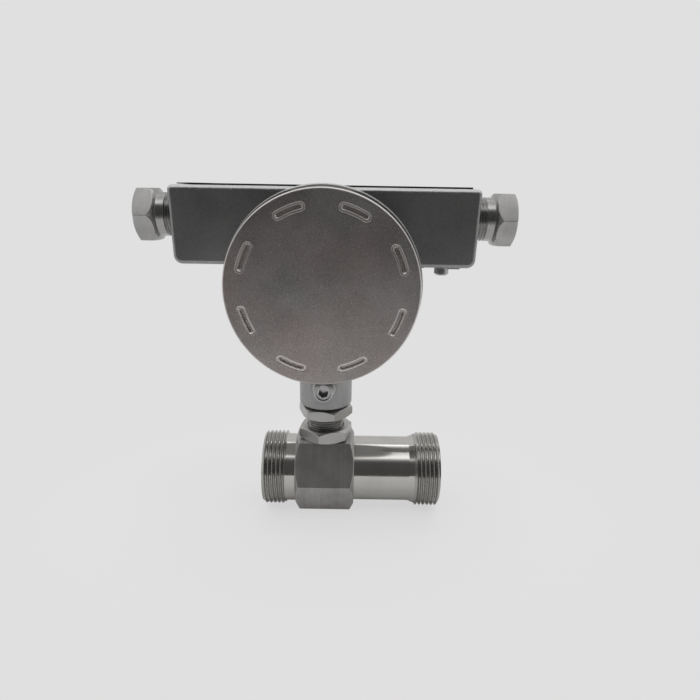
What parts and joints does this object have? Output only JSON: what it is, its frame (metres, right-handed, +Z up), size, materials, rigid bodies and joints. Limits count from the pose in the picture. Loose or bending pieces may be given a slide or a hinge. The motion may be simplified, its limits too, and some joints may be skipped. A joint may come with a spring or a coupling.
{
  "type": "turbine flow meter",
  "caption": "Screw-end turbine flow meter: hexagonal steel pipe body with a vaned rotor inside and a flameproof wiring head with a round screw cover on a swivelling neck.",
  "frame": {"origin": "centre of the flat under the body's hexagon, below the neck's axis", "axes": "+X along the pipe towards the inlet, -Y out of the round cover, +Z up along the neck"},
  "size_m": [0.19, 0.0702, 0.1812],
  "materials": {
    "turned_steel": "turned stainless steel",
    "nut_steel": "machined stainless nut",
    "cast_steel": "satin cast stainless steel",
    "cover_steel": "bead-blasted stainless steel",
    "pickup_steel": "dark oxide thread",
    "screw_steel": "bright screw",
    "spring_steel": "spring steel",
    "rotor_steel": "machined rotor",
    "bearing": "hard bearing bush",
    "rubber": "black rubber",
    "black_sheet": "black sheet",
    "copper_coil": "wound copper",
    "magnet": "plated magnet",
    "resin": "potting resin",
    "board": "circuit board",
    "terminal": "moulded terminal block",
    "brass": "plain brass",
    "component": "moulded electronic parts",
    "tag_steel": "tinned sheet"
  },
  "bodies": {
    "meter": {"meter_body": "turned_steel", "outlet_straightener": "rotor_steel", "inlet_straightener": "rotor_steel", "outlet_circlip": "spring_steel", "inlet_circlip": "spring_steel", "outlet_bush": "bearing", "inlet_bush": "bearing", "pickup_sleeve": "pickup_steel", "pickup_core": "spring_steel", "pickup_coil": "copper_coil", "pickup_magnet": "magnet", "pickup_potting": "resin", "boss_nut": "nut_steel", "lock_nut": "nut_steel", "neck_seal": "rubber"},
    "turbine": {"rotor": "rotor_steel", "rotor_shaft": "screw_steel"},
    "head": {"housing": "cast_steel", "left_arm": "cast_steel", "right_arm": "cast_steel", "lock_tab": "tag_steel", "lock_spring_washer": "spring_steel", "lock_screw": "screw_steel", "top_sheet": "black_sheet", "earth_tag": "tag_steel", "earth_screw": "screw_steel", "circuit_board": "board", "board_standoffs": "brass", "board_screws": "screw_steel", "terminal_block": "terminal", "terminal_screws": "screw_steel", "board_parts": "component", "left_gland_seal": "rubber", "right_gland_seal": "rubber"},
    "cover_seal": {"cover_oring": "rubber"},
    "cover": {"cover": "cover_steel"},
    "left_washer": {"left_gland_washer": "tag_steel"},
    "left_nut": {"left_gland_nut": "nut_steel"},
    "right_washer": {"right_gland_washer": "tag_steel"},
    "right_nut": {"right_gland_nut": "nut_steel"}
  },
  "joints": [
    {"name": "rotor_spin", "type": "hinge", "parent": "meter", "child": "turbine", "pos_m": [0, 0, 0.021], "axis": [1, 0, 0], "continuous": true},
    {"name": "head_swivel", "type": "hinge", "parent": "meter", "child": "head", "pos_m": [0, 0, 0.06], "axis": [0, 0, 1], "range_deg": [-180, 180]},
    {"name": "cover_travel", "type": "slide", "parent": "head", "child": "cover_seal", "axis": [0, -1, 0], "range_m": [0, 0.01201]},
    {"name": "cover_turn", "type": "hinge", "parent": "cover_seal", "child": "cover", "pos_m": [0, -0.042, 0.1347], "axis": [0, -1, 0], "range_deg": [0, 2160]},
    {"name": "left_gland_travel", "type": "slide", "parent": "head", "child": "left_washer", "axis": [-1, 0, 0], "range_m": [0, 0.00751]},
    {"name": "left_gland_turn", "type": "hinge", "parent": "left_washer", "child": "left_nut", "pos_m": [-0.08, 0, 0.1647], "axis": [-1, 0, 0], "range_deg": [0, 1800]},
    {"name": "right_gland_travel", "type": "slide", "parent": "head", "child": "right_washer", "axis": [1, 0, 0], "range_m": [0, 0.00751]},
    {"name": "right_gland_turn", "type": "hinge", "parent": "right_washer", "child": "right_nut", "pos_m": [0.08, 0, 0.1647], "axis": [1, 0, 0], "range_deg": [0, 1800]}
  ],
  "couplings": [
    {"joint": "cover_travel", "follows": "cover_turn", "m_per_rad": 0.00031831},
    {"joint": "left_gland_travel", "follows": "left_gland_turn", "m_per_rad": 0.00023873},
    {"joint": "right_gland_travel", "follows": "right_gland_turn", "m_per_rad": 0.00023873}
  ]
}
